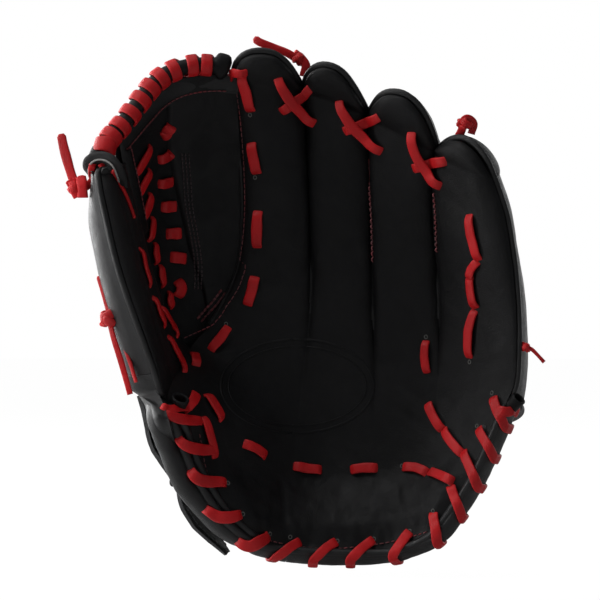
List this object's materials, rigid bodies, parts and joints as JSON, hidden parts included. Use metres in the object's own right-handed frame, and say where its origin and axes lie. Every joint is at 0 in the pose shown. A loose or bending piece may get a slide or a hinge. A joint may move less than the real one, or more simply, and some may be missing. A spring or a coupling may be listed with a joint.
{
  "type": "fielder's glove",
  "caption": "Left-hand leather fielder's glove: padded finger and thumb stalls, laced web with wrapped crown, heel roll and wrist strap; opens and closes about its palm folds.",
  "frame": {"origin": "middle of the underside of the glove's bounding box, with the glove standing on its heel", "axes": "+Z from the heel up the fingers, +X from the thumb towards the little finger, -Y out of the pocket, +Y out of the back of the hand"},
  "size_m": [0.2878, 0.136, 0.322],
  "materials": {
    "black_leather": "full-grain, satin",
    "red_lace": "rawhide lace, dyed through",
    "felt": "pressed wool felt",
    "lining": "soft matt lining leather",
    "fleece": "short pile",
    "stay_plastic": "moulded"
  },
  "bodies": {
    "palm": {"palm_shell_centre": "black_leather", "palm_felt_pad": "felt", "palm_lining_centre": "lining", "index_finger_back": "black_leather", "middle_finger_back": "black_leather", "hand_back_centre": "black_leather", "wrist_strap_centre": "black_leather", "wrist_fleece": "fleece", "index_web_welt": "black_leather", "index_middle_welt": "black_leather", "middle_ring_welt": "black_leather", "heel_roll_centre": "black_leather", "fingertip_lace_centre": "red_lace", "index_web_lace": "red_lace", "palm_lace_centre": "red_lace", "heel_lace_centre": "red_lace", "index_tip_tail": "red_lace"},
    "thumb_side": {"palm_shell_thumb_side": "black_leather", "heel_pad_thumb_side": "felt", "palm_lining_thumb_side": "lining", "thumb_back": "black_leather", "thumb_stay": "stay_plastic", "hand_back_thumb_side": "black_leather", "wrist_strap_thumb_end": "black_leather", "thumb_web_welt": "black_leather", "thumb_outer_welt": "black_leather", "web_panel": "black_leather", "web_facing": "black_leather", "web_crown": "black_leather", "crown_cuff": "black_leather", "web_crown_wrap_lace": "red_lace", "heel_roll_thumb_side": "black_leather", "palm_lace_thumb_side": "red_lace", "web_lace_inner_column": "red_lace", "web_lace_outer_column": "red_lace", "thumb_web_lace": "red_lace", "heel_lace_thumb_side": "red_lace", "thumb_tip_tail": "red_lace", "thumb_side_lace": "red_lace", "strap_end_flap": "black_leather"},
    "little_side": {"palm_shell_little_side": "black_leather", "heel_pad_little_side": "felt", "palm_lining_little_side": "lining", "ring_finger_back": "black_leather", "little_finger_back": "black_leather", "little_finger_stay": "stay_plastic", "hand_back_little_side": "black_leather", "wrist_strap_little_end": "black_leather", "ring_little_welt": "black_leather", "little_outer_welt": "black_leather", "heel_roll_little_side": "black_leather", "fingertip_lace_little_side": "red_lace", "palm_lace_little_side": "red_lace", "little_side_lace": "red_lace", "little_finger_lace": "red_lace", "heel_lace_little_side": "red_lace", "ring_tip_knot": "red_lace", "little_side_tail": "red_lace"},
    "strap_tab": {"strap_tab": "black_leather"}
  },
  "joints": [
    {"name": "thumb_fold", "type": "hinge", "parent": "palm", "child": "thumb_side", "pos_m": [-0.01195, -0.03046, 0.01285], "axis": [-0.0967, 0.0272, 0.9949], "range_deg": [0, 40], "stiffness_Nm_per_rad": 0.3},
    {"name": "little_fold", "type": "hinge", "parent": "palm", "child": "little_side", "pos_m": [0.04234, -0.02846, 0.01266], "axis": [0.0079, -0.0293, -0.9995], "range_deg": [0, 35], "stiffness_Nm_per_rad": 0.3},
    {"name": "strap_tab_hinge", "type": "hinge", "parent": "thumb_side", "child": "strap_tab", "pos_m": [-0.07296, -0.00946, 0.05336], "axis": [0, 1, 0], "range_deg": [0, 75], "stiffness_Nm_per_rad": 0.004}
  ]
}
